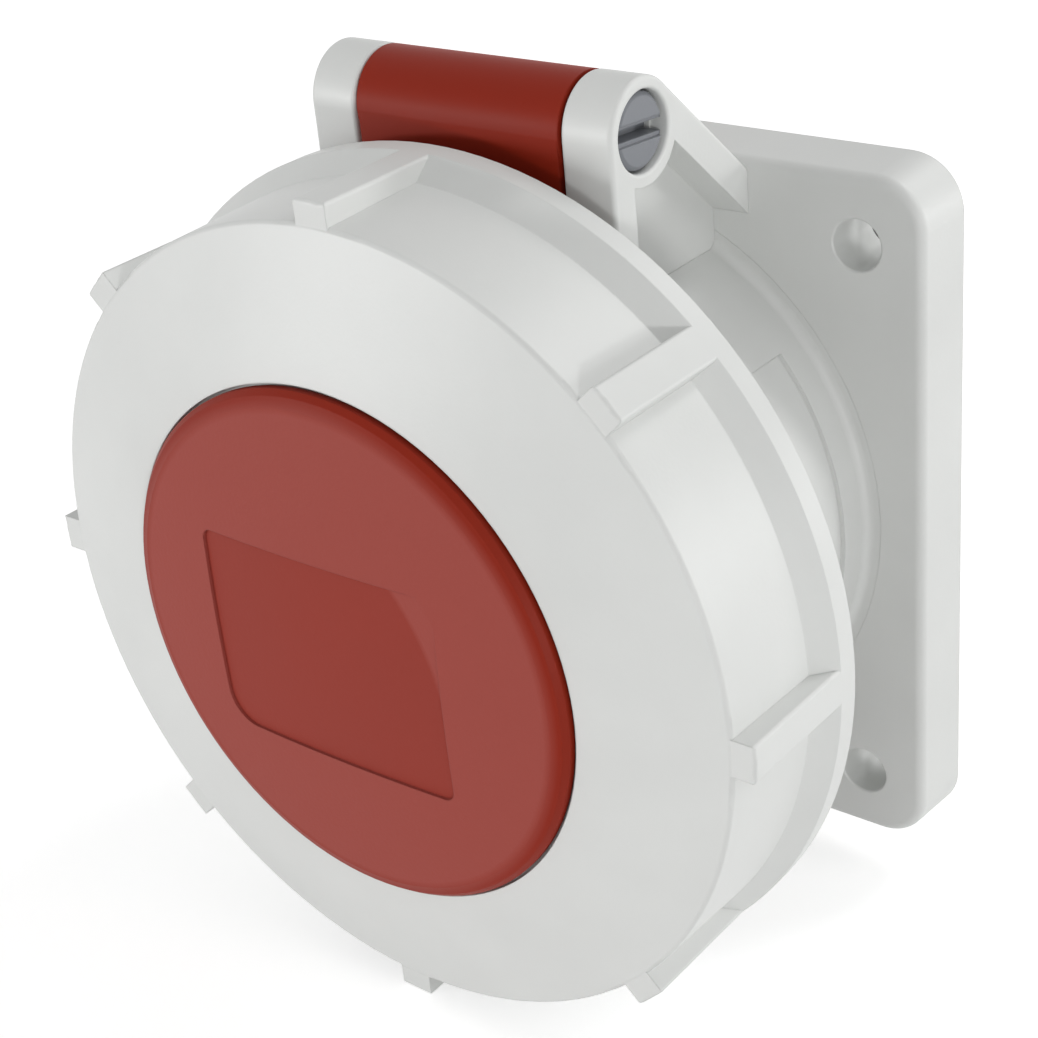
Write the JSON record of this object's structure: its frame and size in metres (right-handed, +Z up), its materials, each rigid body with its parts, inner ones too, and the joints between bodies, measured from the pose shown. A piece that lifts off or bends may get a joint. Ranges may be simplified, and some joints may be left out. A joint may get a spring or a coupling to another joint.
{
  "type": "industrial panel socket",
  "caption": "Square-flange panel socket with a round collar, hinged domed lid, bayonet locking ring and sleeve contacts behind the lid.",
  "frame": {"origin": "centre of the flange's back face, on the socket's axis", "axes": "+Z up, +Y into the panel, so the lid faces -Y and +X is to the viewer's right"},
  "size_m": [0.0876, 0.082, 0.0935],
  "materials": {
    "housing": "satin light grey",
    "lid": "fine matte grain",
    "pin": "satin dark grey",
    "carrier": "matte",
    "rubber": "matte",
    "brass": "turned",
    "steel": "bright zinc"
  },
  "bodies": {
    "housing": {"housing": "housing", "collar": "housing", "hinge_bracket_right": "housing", "hinge_bracket_left": "housing", "rear_skirt": "housing", "flange_gasket": "rubber", "carrier": "carrier", "carrier_seal": "rubber", "contact_plate": "carrier", "terminal_block": "carrier", "retaining_ring": "carrier", "terminal_cover": "carrier", "cover_screw": "steel", "hinge_pin": "pin", "hinge_spring": "steel", "contact_tower_pe": "carrier", "contact_pe": "brass", "terminal_screw_pe": "steel", "contact_tower_l1": "carrier", "contact_l1": "brass", "terminal_screw_l1": "steel", "contact_tower_l2": "carrier", "contact_l2": "brass", "terminal_screw_l2": "steel", "contact_tower_l3": "carrier", "contact_l3": "brass", "terminal_screw_l3": "steel", "contact_tower_n": "carrier", "contact_n": "brass", "terminal_screw_n": "steel"},
    "lid": {"lid": "lid", "lid_seal": "rubber"},
    "locking_ring": {"locking_ring": "housing"}
  },
  "joints": [
    {"name": "lid_swing", "type": "hinge", "parent": "housing", "child": "lid", "pos_m": [0, -0.02365, 0.0446], "axis": [-1, 0, 0], "range_deg": [0, 110], "stiffness_Nm_per_rad": 0.03, "springref_deg": -68.75, "deforming": ["hinge_spring"]},
    {"name": "ring_turn", "type": "hinge", "parent": "lid", "child": "locking_ring", "pos_m": [0, -0.04, 0], "axis": [0, 1, 0], "range_deg": [0, 45]}
  ]
}
